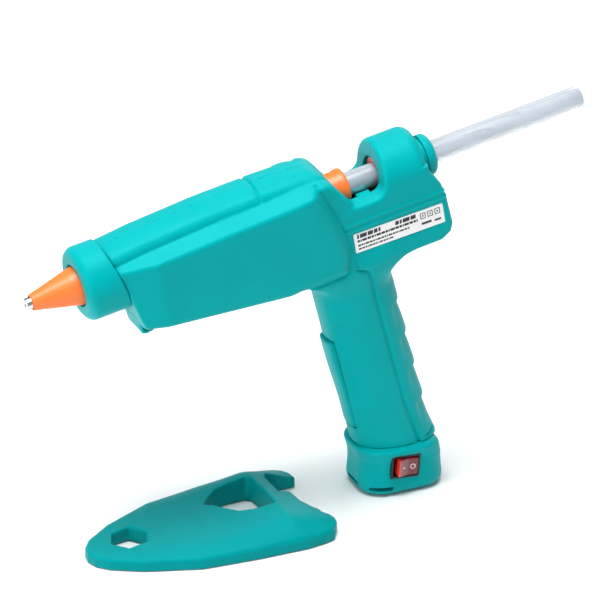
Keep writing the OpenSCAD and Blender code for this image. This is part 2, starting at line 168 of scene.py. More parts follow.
def mesh_object(name, points, faces, matrix, smooth=True):
    """A mesh from points in a local frame, linked to the scene."""
    m = np.array(matrix)
    world = np.asarray(points, float) @ m[:3, :3].T + m[:3, 3]
    mesh = bpy.data.meshes.new(name)
    mesh.from_pydata(world.tolist(), [], faces)
    mesh.update()
    if smooth:
        mesh.shade_smooth()
        mesh.set_sharp_from_angle(angle=math.radians(50))
    obj = bpy.data.objects.new(name, mesh)
    bpy.context.scene.collection.objects.link(obj)
    return obj


# ---------- casing ----------

COLLAR_T = 26.5
FLOOR_N = -3.5               # the saddle window's floor
CHEEK_Y, REAR_Y = 21.5, 17.5
GRIP_DEPTH, GRIP_HALF_WIDTH = 19, 15.5
SCREWS = [(63, -25), (138, 12.2), (150, -30), (205, -30)]   # t, n
GRIP_SCREW = (11, -42)                                      # x, h in the grip frame

CHEEK = [
    (20, 40), (139.5, 40), (145, 12), (149.5, -2), (154, -17), (155.5, -27), (153.5, -33),
    (131, -34), (122, -40), (118, -70), (20, -70)
]
REAR_BODY = [
    (122, FLOOR_N), (208, FLOOR_N), (211, -8), (212.7, -16), (213.5, -31), (211.8, -35.3), (206.5, -38.3),
    (165, -38.8), (150, -40), (122, -36.4)
]


STRAP = [
    (0.6, 49), (0.6, 43.2), (5.6, 40), (6.9, 36), (7.1, 0), (7.6, -39), (9.5, -60), (11, -80),
    (60, -80), (60, 49)
]
PAD_PITCH = 18.9
PAD_TOP = 12.0                    # h of the uppermost pad's tip
LABEL_PLACE = (185.7, -22.8)      # t, n of the label's centre on the left side
LABEL_RECESS = (23.9, 5.5)        # half length and half height of the recess it sits in
SCREW_BOSS_R, SCREW_HEAD_R, SCREW_R = 4.6, 3.0, 1.7
SCREW_HEAD_Y = 11.25              # the screw heads' seats
SEAM_GAP = 0.02                   # each half stops this far from the middle plane


def spine_height(t):
    """Height of the crease between the spine and the top chamfer."""
    return between(t, [41, 60, 100, 118, 142, 150], [9.2, 11.4, 13.9, 14.2, 15.2, 15.0])


def front_body(t, y, n):
    """Rounded spine, sloping top chamfers, flat cheeks and a leaning front."""
    crease_n = spine_height(t)
    crease_y = 13.1
    half = between(t, [41, 61.5, 63], [16.4, 21.4, CHEEK_Y])
    cheek_edge_n = between(t, [41, 65, 137, 145], [6.5, 8.2, 10.6, 11.5])
    run, drop = CHEEK_Y - crease_y, crease_n - cheek_edge_n
    length = np.sqrt(run * run + drop * drop)
    chamfer = ((y - crease_y) * drop + (n - crease_n) * run) / length
    region = polygon(CHEEK, t, n)
    flank = (y - CHEEK_Y + 1.15 * region) / 1.52
    base = np.maximum(y - REAR_Y, np.maximum(120 - t, -n - 36))
    cheek = smin(smax(y - half, flank, 1.6), base, 0.8)
    lower = smax(smax(cheek, chamfer, 1.6), n - crease_n - 0.4, 0.5)
    dip = 0.3 * ramp(t, 121.6, 122.4) - 0.9 * np.exp(-((t - 121.6) / 0.7) ** 2)
    summit = between(t, [41, 60, 95, 118, 142, 150], [16.4, 18.4, 20.2, 20.3, 19.6, 18.8])
    top = summit - 3.6 * (y / 13) ** 2 + dip
    spine = round_max(y - crease_y + 0.3, n - top, 3.2)
    spine = np.maximum(spine, -n)
    body = smin(lower, spine, 0.8)
    bottom = -(n + 28.6 + 0.1315 * (t - 63)) / 1.009
    front = side_of(t, n, (51.7, -29), (41.4, 17))
    rear = side_of(t, n, (153.0, 19), (169.4, -8))
    body = smax(body, bottom, 5)
    body = smax(body, front, 1.4)
    return smax(body, rear, 4.5)


def grip(x, y, h):
    """Oval grip, its section a soft rounded rectangle, flared into the foot."""
    flare = ramp(-h, 56, 72)
    depth = GRIP_DEPTH + 0.2 + 1.6 * flare * (x > 0)
    half = GRIP_HALF_WIDTH + 0.3 * flare
    k = (np.abs(x / depth) ** 2.3 + np.abs(y / half) ** 2.3) ** (1 / 2.3)
    return (k - 1) * 15.5


def rear_body(t, y, n, x, h):
    """Rear block, the arched hump behind the saddle window and the grip, filleted in side view."""
    block = polygon(REAR_BODY, t, n)
    front = side_of(t, n, (182.4, 0), (185.2, 18))
    arch_side = np.maximum(np.maximum(front, t - 206.5), -n - 12)
    outline = smin(block, arch_side, 6)
    handle_side = np.maximum(np.abs(x) - GRIP_DEPTH - 0.2, n + 16)
    outline = smin(outline, handle_side, 14)
    arch = np.where(n > 0, np.sqrt(y * y + n * n), y) - REAR_Y
    body = smax(outline, arch, 2.4 + 3.6 * ramp(t, 196, 204) * (n > 4))
    k = (np.maximum(1 + outline / GRIP_DEPTH, 0) ** 2.3 + (y / GRIP_HALF_WIDTH) ** 2.3) ** (1 / 2.3)
    neck = (k - 1) * 15.5
    upper = ramp(n, -54, -37)
    joined = upper * body + (1 - upper) * neck
    low = ramp(-h, 40, 55)
    return (1 - low) * joined + low * grip(x, y, h)


def hook_lip(t, y, n):
    """The lip under the nose, with its notch and hole."""
    block = polygon([(50.6, -24), (51.9, -33.2), (54, -34.2), (58.3, -33.6), (58.3, -24)], t, n)
    block = smax(block, y - 9, 1.6)
    notch = np.maximum(polygon([(54.2, -32.3), (54.2, -28.6), (60, -28.6), (60, -32.3)], t, n), 4.5 - y)
    hole = radius(t, n, (54.6, -30.4)) - 1.8
    return block, np.minimum(notch, hole)


def screw_distances(t, n, x, h):
    """Distance from each casing screw's axis."""
    return [radius(t, n, place) for place in SCREWS] + [radius(x, h, GRIP_SCREW)]


def casing(block):
    """Outside and inside of the casing on the half y > 0."""
    t, y, n = block.a, np.abs(block.b), block.c
    x, _, h = convert(BARREL_TO_GRIP, t, y, n)
    _, _, row_z = convert(BARREL_TO_ROW, t, y, n)
    outside = smin(rear_body(t, y, n, x, h), front_body(t, y, n), 1.2)
    lip, lip_cuts = hook_lip(t, y, n)
    outside = smin(outside, lip, 1.0)
    plain = outside
    # Label pad and the two ridges above it
    on_rear = ramp(t, 157.0, 158.0) * (1 - ramp(t, 212.3, 213.3)) * (y > 12)
    ridge = np.exp(-(((n + 11.9) / 0.55) ** 2)) + np.exp(-(((n + 14.9) / 0.55) ** 2))
    outside = outside - 0.55 * ridge * on_rear
    # Rear strap of the grip, a little proud, with a groove along its front
    strap = polygon(STRAP, x, h)
    fade = (1 - ramp(x, 12, 26) * ramp(h, 20, 34)) * (1 - ramp(h, 43, 49))
    outside = outside - 0.9 * fade * (0.5 - 0.5 * np.tanh(strap / 0.4)) * (y > 2)
    outside = outside + 0.7 * fade * np.exp(-(((strap - 1.2) / 0.8) ** 2)) * (y > 6)
    # Saw-toothed pads down the back of the grip
    pads = ramp(x, 11.5, 14.5) * ramp(h, -66, -63) * (1 - ramp(h, PAD_TOP - 0.2, PAD_TOP))
    tooth = 1 - np.mod(PAD_TOP - h, PAD_PITCH) / PAD_PITCH
    outside = outside + 1.3 * pads * tooth ** 1.5
    groove = region_groove(t, y, n)
    outside = outside + groove
    inside = plain + WALL
    for r in screw_distances(t, n, x, h):
        inside = np.maximum(inside, SCREW_BOSS_R - r)
    r = np.sqrt(y * y + n * n)
    cuts = np.minimum(lip_cuts, np.maximum(r - 14.5, t - 66))
    cuts = np.minimum(cuts, np.maximum(np.maximum(r - 8.9, 150 - t), t - 171))
    cuts = np.minimum(cuts, np.maximum(np.maximum(r - 6.4, 165 - t), t - 190))
    cuts = np.minimum(cuts, np.maximum(np.maximum(r - 9.3, 178 - t), t - 190))
    cuts = np.minimum(cuts, np.maximum(r - 9.3, 201 - t))
    cuts = np.minimum(cuts, np.maximum(r - 12.2, 209 - t))
    slot = np.maximum(np.maximum(y - 6.95, x + 7), np.maximum(h - 3.0, -48.7 - h))
    cuts = np.minimum(cuts, slot)
    cuts = np.minimum(cuts, row_z - 25.2)
    return outside, inside, cuts, (t, y, n), (x, h)


def region_groove(t, y, n):
    """Shallow channel round the foot of the cheeks."""
    region = polygon(CHEEK, t, n)
    return 0.7 * np.exp(-(((region - 4.6) / 0.9) ** 2)) * (y > 14) * ramp(t, 128, 136)


def build_casing():
    block = Block((40.5, -1, -147), (217, 22.5, 23), STEP)
    outside, inside, cuts, (t, y, n), (x, h) = casing(block)
    common = np.maximum(np.maximum(outside, -inside), -cuts)
    seam = SEAM_GAP - block.b
    right = common
    for r in screw_distances(t, n, x, h):
        right = np.maximum(right, -np.maximum(r - SCREW_HEAD_R, SCREW_HEAD_Y - y))
        right = np.maximum(right, SCREW_R - r)
    right_shell = block.surface("casing_right", np.maximum(right, seam), BARREL, 0.01)
    # The left half is the mirror image, with a recess for the label instead of the screws
    recess_n = np.abs(n - LABEL_PLACE[1] + 0.0175 * (t - 185)) - LABEL_RECESS[1]
    recess = np.maximum(np.abs(t - LABEL_PLACE[0]) - LABEL_RECESS[0], recess_n)
    recess = np.maximum(recess, REAR_Y - 0.25 - y)
    left = np.maximum(common, -recess)
    mirror = BARREL @ Matrix.Scale(-1, 4, (0, 1, 0))
    left_shell = block.surface("casing_left", np.maximum(left, seam), mirror, 0.01)
    left_shell.data.flip_normals()
    return left_shell, right_shell


# ---------- camera and light ----------

VIEW_AZIMUTH = math.radians(-24)
VIEW_ELEVATION = math.radians(28)
LENS = 900
FRAME_WIDTH = 0.28986         # metres across the picture at the target
TARGET = Vector((-0.0245, 0.0549, 0.0757))


def make_camera():
    data = bpy.data.cameras.new("camera")
    data.lens = LENS
    data.sensor_width = 36
    cam = bpy.data.objects.new("camera", data)
    bpy.context.scene.collection.objects.link(cam)
    a, e = VIEW_AZIMUTH, VIEW_ELEVATION
    back = Vector((math.sin(a) * math.cos(e), -math.cos(a) * math.cos(e), math.sin(e)))
    distance = FRAME_WIDTH * LENS / 36
    cam.location = TARGET + back * distance
    cam.rotation_mode = "QUATERNION"
    cam.rotation_quaternion = (-back).to_track_quat("-Z", "Y")
    data.clip_start, data.clip_end = 0.1, 100
    bpy.context.scene.camera = cam


def area_light(name, place, target, size, power, colour=(1, 1, 1)):
    data = bpy.data.lights.new(name, "AREA")
    data.shape = "DISK"
    data.size = size
    data.energy = power
    data.color = colour
    lamp = bpy.data.objects.new(name, data)
    lamp.location = place
    lamp.rotation_mode = "QUATERNION"
    lamp.rotation_quaternion = (Vector(target) - Vector(place)).to_track_quat("-Z", "Y")
    lamp.visible_camera = False
    bpy.context.scene.collection.objects.link(lamp)


def make_stage():
    scene = bpy.context.scene
    scene.view_settings.view_transform = "Standard"
    scene.view_settings.look = "None"
    world = bpy.data.worlds.new("studio")
    world.use_nodes = True
    background = world.node_tree.nodes["Background"]
    background.inputs["Color"].default_value = (0.95, 0.97, 1, 1)
    background.inputs["Strength"].default_value = 0.34
    scene.world = world
    centre = (-0.05, 0, 0.08)
    area_light("key", (-0.25, -0.1, 1.5), centre, 0.9, 30)
    area_light("front", (-1.6, -0.4, 0.4), centre, 0.7, 9)
    area_light("rim", (0.9, 1.2, 0.9), centre, 0.8, 5)
    size = 12
    floor = mesh_object(
        "floor", [(-size, -size, 0), (size, -size, 0), (size, size, 0), (-size, size, 0)],
        [(0, 1, 2, 3)], Matrix.Identity(4), smooth=False
    )
    floor.location.z = -0.0004
    floor.data.materials.append(floor_material())


# ---------- materials ----------

def shader(name):
    material = bpy.data.materials.new(name)
    material.use_nodes = True
    nodes, links = material.node_tree.nodes, material.node_tree.links
    return material, nodes, links, nodes["Principled BSDF"]


def floor_material():
    material, _, _, base = shader("floor_paper")
    base.inputs["Base Color"].default_value = (0.9, 0.9, 0.9, 1)
    base.inputs["Roughness"].default_value = 0.85
    return material


def noise(nodes, links, coordinates, scale, detail=3.0, roughness=0.5):
    node = nodes.new("ShaderNodeTexNoise")
    node.inputs["Scale"].default_value = scale
    node.inputs["Detail"].default_value = detail
    node.inputs["Roughness"].default_value = roughness
    links.new(coordinates, node.inputs["Vector"])
    return node.outputs["Fac"]


def remap(nodes, links, value, low, high, to_low, to_high):
    node = nodes.new("ShaderNodeMapRange")
    for key, number in (("From Min", low), ("From Max", high), ("To Min", to_low), ("To Max", to_high)):
        node.inputs[key].default_value = number
    links.new(value, node.inputs["Value"])
    return node.outputs["Result"]


def mix_colour(nodes, links, fac, a, b):
    node = nodes.new("ShaderNodeMix")
    node.data_type = "RGBA"
    links.new(fac, node.inputs["Factor"])
    node.inputs[6].default_value = (*a, 1)
    node.inputs[7].default_value = (*b, 1)
    return node.outputs[2]


def plastic(name, colour, worn, rough, grain=2600, depth=0.00004, specular=0.4, tint_of_gloss=(1, 1, 1)):
    """Moulded plastic: faint mottling, fine grain, edges worn a little paler."""
    material, nodes, links, base = shader(name)
    where = nodes.new("ShaderNodeTexCoord").outputs["Object"]
    cloud = noise(nodes, links, where, 45, 2)
    mottle = remap(nodes, links, cloud, 0.3, 0.7, 0, 1)
    tint = mix_colour(nodes, links, mottle, colour, [c * 0.93 for c in colour])
    edge = nodes.new("ShaderNodeNewGeometry").outputs["Pointiness"]
    wear = nodes.new("ShaderNodeMix")
    wear.data_type = "RGBA"
    links.new(remap(nodes, links, edge, 0.53, 0.62, 0, 0.5), wear.inputs["Factor"])
    links.new(tint, wear.inputs[6])
    wear.inputs[7].default_value = (*worn, 1)
    links.new(wear.outputs[2], base.inputs["Base Color"])
    fine = noise(nodes, links, where, grain, 3)
    links.new(remap(nodes, links, fine, 0.3, 0.7, rough - 0.05, rough + 0.07), base.inputs["Roughness"])
    bump = nodes.new("ShaderNodeBump")
    bump.inputs["Strength"].default_value = 0.25
    bump.inputs["Distance"].default_value = depth
    links.new(fine, bump.inputs["Height"])
    links.new(bump.outputs["Normal"], base.inputs["Normal"])
    base.inputs["Specular IOR Level"].default_value = specular
    base.inputs["Specular Tint"].default_value = (*tint_of_gloss, 1)
    return material


def metal(name, colour, rough, streak=(1, 1, 1), scale=900):
    """Bare metal with fine marks, stretched by streak."""
    material, nodes, links, base = shader(name)
    where = nodes.new("ShaderNodeTexCoord").outputs["Object"]
    stretch = nodes.new("ShaderNodeMapping")
    stretch.inputs["Scale"].default_value = streak
    links.new(where, stretch.inputs["Vector"])
    marks = noise(nodes, links, stretch.outputs["Vector"], scale, 4)
    dark = [c * 0.8 for c in colour]
    links.new(mix_colour(nodes, links, marks, colour, dark), base.inputs["Base Color"])
    links.new(remap(nodes, links, marks, 0.3, 0.7, rough - 0.08, rough + 0.1), base.inputs["Roughness"])
    base.inputs["Metallic"].default_value = 1
    return material


# ---------- moulded pieces round the casing ----------

def collar():
    """Nose ring, cut at the back to the lean of the body's front."""
    block = Block((COLLAR_T, -19, -19), (53, 19, 19), FINE_STEP)
    t, y, n = block.a, block.b, block.c
    r = np.sqrt(y * y + n * n)
    ring = round_max(r - 18.5, COLLAR_T - t, 4.6)
    bore = np.minimum(r - 10.4, np.maximum(r - 15.7, COLLAR_T + 4 - t))
    ring = smax(ring, -bore, 1.0)
    ring = smax(ring, -side_of(t, n, (51.62, -29), (41.32, 17)), 0.5)
    return block.surface("nose_ring", ring, BARREL)


FOOT_HALF = (22.0, 17.5)
FOOT_CORNER = 13
SWITCH_PLACE = (-1.2, 15.3)              # x, z of the switch in the foot's left side
SWITCH_TILT = math.radians(5)
SWITCH = Matrix.Scale(MM, 4) @ Matrix.Translation((SWITCH_PLACE[0], -17.5, SWITCH_PLACE[1])) \
    @ Matrix.Rotation(SWITCH_TILT, 4, "Y")


def rounded_box(x, y, half, corner):
    """Distance from a rounded rectangle."""
    qx, qy = np.abs(x) - half[0] + corner, np.abs(y) - half[1] + corner
    outer = np.sqrt(np.maximum(qx, 0) ** 2 + np.maximum(qy, 0) ** 2)
    return outer + np.minimum(np.maximum(qx, qy), 0) - corner


def foot():
    """Base cap: waisted side, proud lip, sloping back, vents and the switch's opening."""
    block = Block((-24.5, -19.5, 0), (24, 19.5, 26.5), FINE_STEP)
    x, y, z = block.a, block.b, block.c
    edge = rounded_box(x - 0.6, y, FOOT_HALF, FOOT_CORNER)
    swell = between(z, [0, 5, 13, 18, 21, 24, 27], [0, -0.1, -0.7, -0.4, 0.5, 1.3, 1.1])
    swell = swell - 1.2 * ramp(z, 16, 24) * ramp(x, 4, 16)
    wall = edge - swell
    cap = round_max(wall, -z, 4.5)
    ledge = z - 25.1 - 0.10 * (edge + 4) * (x < 0)
    slope = side_of(x, z, (17.0, 27.0), (22.4, 16.6))
    cap = smax(cap, ledge + 0.35 * np.maximum(edge + 2.5, 0), 1.2)
    cap = smax(cap, slope, 3.0)
    cavity = np.maximum(edge + 4, 3 - z)
    cap = np.maximum(cap, -cavity)
    c, s = math.cos(SWITCH_TILT), math.sin(SWITCH_TILT)
    u = (x - SWITCH_PLACE[0]) * c - (z - SWITCH_PLACE[1]) * s
    w = (x - SWITCH_PLACE[0]) * s + (z - SWITCH_PLACE[1]) * c
    opening = np.maximum(rounded_box(u, w, (7.2, 5.7), 0.8), y + 10)
    cap = smax(cap, -opening, 0.5)
    side_vent = np.maximum(rounded_box(x + 12.4, z - 4.0, (5.6, 0.95), 0.9), y + 12)
    front_vent = np.maximum(rounded_box(y, z - 4.0, (5.6, 0.95), 0.9), x + 16)
    gland = np.maximum(np.sqrt(y * y + (z - 11) ** 2) - 6.1, 10 - x)
    for hole in (side_vent, front_vent, gland):
        cap = smax(cap, -hole, 0.5)
    return block.surface("foot_cap", cap, ROW)


PLATE = Matrix.Scale(MM, 4) @ Matrix.Translation((-168, -18, 0)) @ Matrix.Rotation(math.radians(3), 4, "Z")
PLATE_EDGE = [
    (0, 0), (1.5, 6), (6, 11.5), (20, 20.5), (46, 31), (75, 34.5), (100, 36), (110, 35), (116, 33.5),
    (120, 31), (122.2, 27), (122.5, 22)
]
NOTCH = [
    (104, 3.4), (110.2, 3.6), (110.7, -6.8), (114.4, -12), (117, -13.5), (117.3, -16.5), (120.2, -19),
    (121, -23), (120, -27), (117, -31), (115, -33), (130, -33), (130, 22), (112, 22), (107, 23.5),
    (104.4, 20)
]
WINDOW = [
    (67.5, 11), (72, 15.5), (78, 19.6), (85, 20.8), (94.5, 20.8), (97, 18.5), (97, 2), (96, -8.5), (85, -7),
    (79, -4.5), (75, 1), (71, 7.5)
]


def mirrored(points):
    return points + [(u, -w) for u, w in reversed(points) if w]


def rest_plate():
    """Leaf-shaped plate with a crowned top, a window, a hexagonal hole and a forked end."""
    block = Block((0, -36, 0), (122.5, 36, 14), FINE_STEP)
    x, y, z = block.a, block.b, block.c
    edge = polygon(mirrored(PLATE_EDGE), x, y)
    crest = between(
        x, [0, 22, 45, 67, 85, 96, 98, 102, 112, 119, 123],
        [6, 7.6, 8.6, 9.8, 11.9, 13.4, 13.2, 12.2, 9.6, 7.2, 6.3]
    )
    shoulder = 1 - np.clip(1 + edge / 15, 0, 1) ** 2
    plate = round_max(edge, z - 5.6 - (crest - 5.6) * shoulder, 1.5)
    plate = smax(plate, -z, 0.6)
    corners = [math.radians(60 * k + 5) for k in range(6)]
    hexagon = polygon([(22.8 + 9.6 * math.cos(a), 1.5 + 9.6 * math.sin(a)) for a in corners], x, y)
    for hole, r in ((hexagon, 1.5), (polygon(WINDOW, x, y), 1.2), (polygon(NOTCH, x, y), 0.9)):
        plate = smax(plate, -hole, r)
    return block.surface("stand_plate", plate, PLATE)


def lathe(name, profile, matrix, segments=96, closed=True):
    """Turns (t, radius) points round the t axis."""
    points, faces = [], []
    count = len(profile)
    for i in range(segments):
        a = 2 * math.pi * i / segments
        points += [(t, r * math.sin(a), r * math.cos(a)) for t, r in profile]
    for i in range(segments):
        j = (i + 1) % segments
        for k in range(count if closed else count - 1):
            m = (k + 1) % count
            faces.append((i * count + k, j * count + k, j * count + m, i * count + m))
    return mesh_object(name, points, faces, matrix)


def arc(t, r, radius, start, end, steps=6):
    """Points of a rounded corner about (t, r), angles in degrees from the t axis."""
    angles = [math.radians(start + (end - start) * i / steps) for i in range(steps + 1)]
    return [(t + radius * math.cos(a), r + radius * math.sin(a)) for a in angles]


def nozzle():
    profile = [(0.8, 0.9), (0.1, 1.3)] + arc(0.6, 2.6, 0.5, 180, 90) + [(3.4, 3.1), (8, 3.1)]
    profile += [(27, 7.4), (30, 7.4), (30, 5), (38, 5), (38, 3.2), (26, 3.2), (20, 0.9)]
    return lathe("nozzle_metal", profile, BARREL)


def cone():
    profile = [(5, 3.15)] + arc(3.5, 3.6, 0.45, 180, 100)
    profile += [(4.2, 4.25), (10, 5.6), (20, 8.05), (26.5, 9.65)]
    profile += arc(29.0, 9.0, 0.8, 90, 0, 4) + [(29.5, 7.6), (27, 7.6)]
    return lathe("nozzle_sleeve", profile, BARREL)


def inlet_sleeve():
    profile = [(112.3, 5.95), (112.3, 11), (116.3, 11), (116.3, 8.3), (163.5, 8.3), (164.8, 8.8)]
    profile += arc(167.2, 7.6, 1.3, 90, 0, 6) + arc(167.6, 6.6, 0.65, 0, -90, 4)
    return lathe("inlet_sleeve", profile, BARREL)


def rear_ring():
    profile = [(205.6, 5.95), (205.6, 8.9), (209.3, 8.9), (209.3, 10.4)] + arc(211.2, 7.2, 3.2, 90, 20, 10)
    profile += arc(213.6, 7.0, 1.0, 0, -90, 4)
    return lathe("rear_ring", profile, BARREL)


def stick():
    """The glue stick: a round rod with a sawn tail and a softened front end."""
    t0, t1, r = 60.0, 294.0, 5.6
    profile = [(t0, 0.01)] + arc(t0 + 0.8, r - 0.8, 0.8, 180, 90, 3)
    profile += [(t0 + 3 * k, r) for k in range(1, 77)]
    profile += arc(t1 - 0.5, r - 0.5, 0.5, 90, 0, 3) + [(t1 - 0.15, 2.5), (t1 - 0.3, 0.01)]
    obj = lathe("stick_body", profile, BARREL, segments=64, closed=False)
    bm = bmesh.new()
    bm.from_mesh(obj.data)
    bmesh.ops.remove_doubles(bm, verts=bm.verts, dist=0.00003)
    bm.to_mesh(obj.data)
    bm.free()
    return obj


def trigger_lever():
    """Squeeze lever: the slim blade in the grip's front, its arm and its pivot boss."""
    block = Block((-23.5, -7, -51), (3, 7, 10), FINE_STEP)
    x, y, h = block.a, block.b, block.c
    proud = 0.3 + 1.0 * ramp(h, -40, -6)
    sides = smax(grip(x, y, h) - proud, np.abs(y) - 6.6, 1.0)
    blade = smax(sides, polygon([(-30, -48.3), (-30, 2.6), (-15.9, 2.6), (-14.4, -48.3)], x, h), 1.6)
    pin_axis = radius(x, h, (-14, -44))
    boss = np.maximum(pin_axis - 4, np.abs(y) - 6.5)
    arm = np.maximum(polygon(TRIGGER_ARM, x, h), np.abs(y) - 2.5)
    lever = np.minimum(np.minimum(blade, boss), arm)
    middle = np.maximum(pin_axis - 4.4, np.abs(y) - 3.7)
    pin = pin_axis - 2.05
    lever = np.maximum(lever, -np.minimum(middle, pin))
    return block.surface("squeeze_lever", lever, GRIP)


TRIGGER_ARM = [(-18, -8), (-12.9, -12.3), (-5.2, -6.2), (-4, 3.5), (-4.6, 7.5), (-8.2, 7.8), (-18, 0)]


def prism(outline, low, high):
    """Points and faces of a straight piece: an outline in (u, w) from low to high along y."""
    count = len(outline)
    points = [(u, low, w) for u, w in outline] + [(u, high, w) for u, w in outline]
    faces = [tuple(range(count)), tuple(range(2 * count - 1, count - 1, -1))]
    faces += [(k, k + count, (k + 1) % count + count, (k + 1) % count) for k in range(count)]
    return points, faces


def rounded_outline(u, w, half_u, half_w, r, steps=5):
    """Corner-rounded rectangle about (u, w), counter-clockwise."""
    outline = []
    for k, (su, sw) in enumerate(((1, 1), (-1, 1), (-1, -1), (1, -1))):
        centre = (u + su * (half_u - r), w + sw * (half_w - r))
        outline += arc(*centre, r, 90 * k, 90 * k + 90, steps)
    return outline


def stack(name, prisms, matrix, materials):
    """One object out of several prisms, each with its own material."""
    points, faces, picks = [], [], []
    for (new_points, new_faces), index in prisms:
        base = len(points)
        points += new_points
        faces += [tuple(base + k for k in face) for face in new_faces]
        picks += [index] * len(new_faces)
    obj = mesh_object(name, points, faces, matrix, smooth=False)
    for material in materials:
        obj.data.materials.append(material)
    for face, index in zip(obj.data.polygons, picks):
        face.material_index = index
    return obj


LABEL = BARREL @ Matrix.Translation((LABEL_PLACE[0], -REAR_Y, LABEL_PLACE[1])) \
    @ Matrix.Rotation(math.radians(1), 4, "Y")


def label():
    """Thin film label. Its print is plain bars in rows, with no lettering, and three square marks."""
    prisms = [(prism(rounded_outline(0, 0, 23.6, 5.2, 0.5), -0.1, 0.25), 0)]

    def ink(u0, u1, w0, w1, lean=0.0):
        outline = [(u0, w0), (u1, w0), (u1 + lean, w1), (u0 + lean, w1)]
        prisms.append((prism(outline, -0.13, 0.0), 1))

    rows = (    # height of the row's middle, half thickness, bar, gap, end of the row
        (3.4, 1.05, 1.9, 0.5, 8.5), (0.9, 0.62, 1.25, 0.32, 9.4),
        (-1.5, 0.45, 1.0, 0.3, 5.0), (-3.4, 0.4, 0.9, 0.28, -4.0)
    )
    for row, (w, half, word, gap, end) in enumerate(rows):
        u = -22.0
        k = 0
        while u < end:
            length = word * (0.55 + 0.45 * ((3 * k + 5 * row) % 4))
            if row > 0 or k not in (5, 6):
                ink(u, min(u + length, end + 1), w - half, w + half, 0.25 if row == 0 else 0.0)
            u += length + gap
            k += 1
    for u in (12.8, 16.6, 20.4):
        ink(u - 1.4, u + 1.4, 3.4, 3.8)
        ink(u - 1.4, u + 1.4, 0.6, 1.0)
        ink(u - 1.4, u - 1.0, 1.0, 3.4)
        ink(u + 1.0, u + 1.4, 1.0, 3.4)
        ink(u - 0.4, u + 0.4, 1.8, 2.6)
    ink(11.6, 16.8, -2.6, -1.4)
    ink(18.4, 21.8, -2.9, -1.9)
    return stack("rating_film", prisms, LABEL, (LABEL_FILM, LABEL_INK))


def switch_bezel():
    """Thin black frame round the rocker, with its well."""
    step = 0.2
    block = Block((-8.2, -1.2, -6.7), (8.2, 12.4, 6.7), step)
    u, y, w = block.a, block.b, block.c
    flange = smax(rounded_box(u, w, (7.7, 6.2), 0.9), np.abs(y + 0.32) - 0.3, 0.4)
    well = np.maximum(rounded_box(u, w, (7.0, 5.5), 0.6), np.abs(y - 5.9) - 6.0)
    hole = np.maximum(rounded_box(u, w, (6.4, 4.9), 0.4), y - 7.5)
    frame_field = smax(np.minimum(flange, well), -hole, 0.3)
    return block.surface("switch_bezel", frame_field, SWITCH)


ROCKER = SWITCH @ Matrix.Translation((0, 2.8, 0)) @ Matrix.Rotation(math.radians(11), 4, "Z")


def rocker_body():
    """See-through red rocker: two hollowed faces meeting in a low middle, softened edges."""
    step = 0.15
    block = Block((-5.8, -5.6, -4.9), (5.8, 2.2, 4.9), step)
    u, y, w = block.a, block.b, block.c
    side = polygon([(-5.4, -5.0), (5.4, -5.0), (4.2, 1.8), (-4.2, 1.8)], u, y)
    body = smax(side, np.abs(w) - 4.5, 0.9)
    hollow = (-4.15 - 0.95 * (np.abs(u) / 5.2) ** 1.5) - y
    body = smax(body, hollow, 0.5)
    bore = np.sqrt(u * u + y * y) - 0.9
    return block.surface("rocker_body", np.maximum(body, -bore), ROCKER)


def rocker_marks():
    """The off and on marks, printed on the two faces of the rocker."""
    points, faces = [], []

    def face_depth(u):
        return -4.15 - 0.95 * (abs(u) / 5.2) ** 1.5 - 0.03

    bar = [(-3.1, -0.28), (-1.7, -0.28), (-1.7, 0.28), (-3.1, 0.28)]
    points += [(u, face_depth(u), w) for u, w in bar]
    faces.append((0, 1, 2, 3))
    turns = 28
    for k in range(turns):
        a = 2 * math.pi * k / turns
        for r in (0.95, 1.4):
            u, w = 2.7 + r * math.cos(a), r * math.sin(a)
            points.append((u, face_depth(u), w))
    for k in range(turns):
        m = (k + 1) % turns
        faces.append((4 + 2 * k, 4 + 2 * k + 1, 4 + 2 * m + 1, 4 + 2 * m))
    marks = mesh_object("rocker_marks", points, faces, ROCKER, smooth=False)
    thick = marks.modifiers.new("thick", "SOLIDIFY")
    thick.thickness = 0.00005
    thick.offset = 0
    return marks


# ---------- materials of the pieces ----------

def film(name, colour, rough):
    """Printed film: a very faint uneven gloss."""
    material, nodes, links, base = shader(name)
    where = nodes.new("ShaderNodeTexCoord").outputs["Object"]
    cloud = noise(nodes, links, where, 700, 2)
    dull = [c * 0.95 for c in colour]
    links.new(mix_colour(nodes, links, cloud, colour, dull), base.inputs["Base Color"])
    links.new(remap(nodes, links, cloud, 0.3, 0.7, rough - 0.05, rough + 0.05), base.inputs["Roughness"])
    return material


def red_lens(name):
    """Translucent red plastic; towards its raised end the base colour is painted bright red, a painted glow
    of light shining through the thin end.
    """
    material, nodes, links, base = shader(name)
    where = nodes.new("ShaderNodeTexCoord").outputs["Object"]
    split = nodes.new("ShaderNodeSeparateXYZ")
    links.new(where, split.inputs["Vector"])
    # Painted glow: the base colour goes from dark red to bright red over the last millimetres of the
    # rocker's raised end.
    left_end = SWITCH_PLACE[0] * MM - 0.0036
    painted_glow = remap(nodes, links, split.outputs["X"], left_end - 0.0012, left_end + 0.0010, 1, 0)
    tint = mix_colour(nodes, links, painted_glow, (0.17, 0.006, 0.01), (0.9, 0.05, 0.02))
    links.new(tint, base.inputs["Base Color"])
    cloud = noise(nodes, links, where, 900, 2)
    links.new(remap(nodes, links, cloud, 0.3, 0.7, 0.3, 0.42), base.inputs["Roughness"])
    base.inputs["Specular IOR Level"].default_value = 0.3
    base.inputs["Transmission Weight"].default_value = 0.1
    base.inputs["Subsurface Weight"].default_value = 0.15
    base.inputs["Subsurface Radius"].default_value = (0.004, 0.0006, 0.0004)
    base.inputs["Subsurface Scale"].default_value = 1.0
    base.inputs["IOR"].default_value = 1.5
    return material


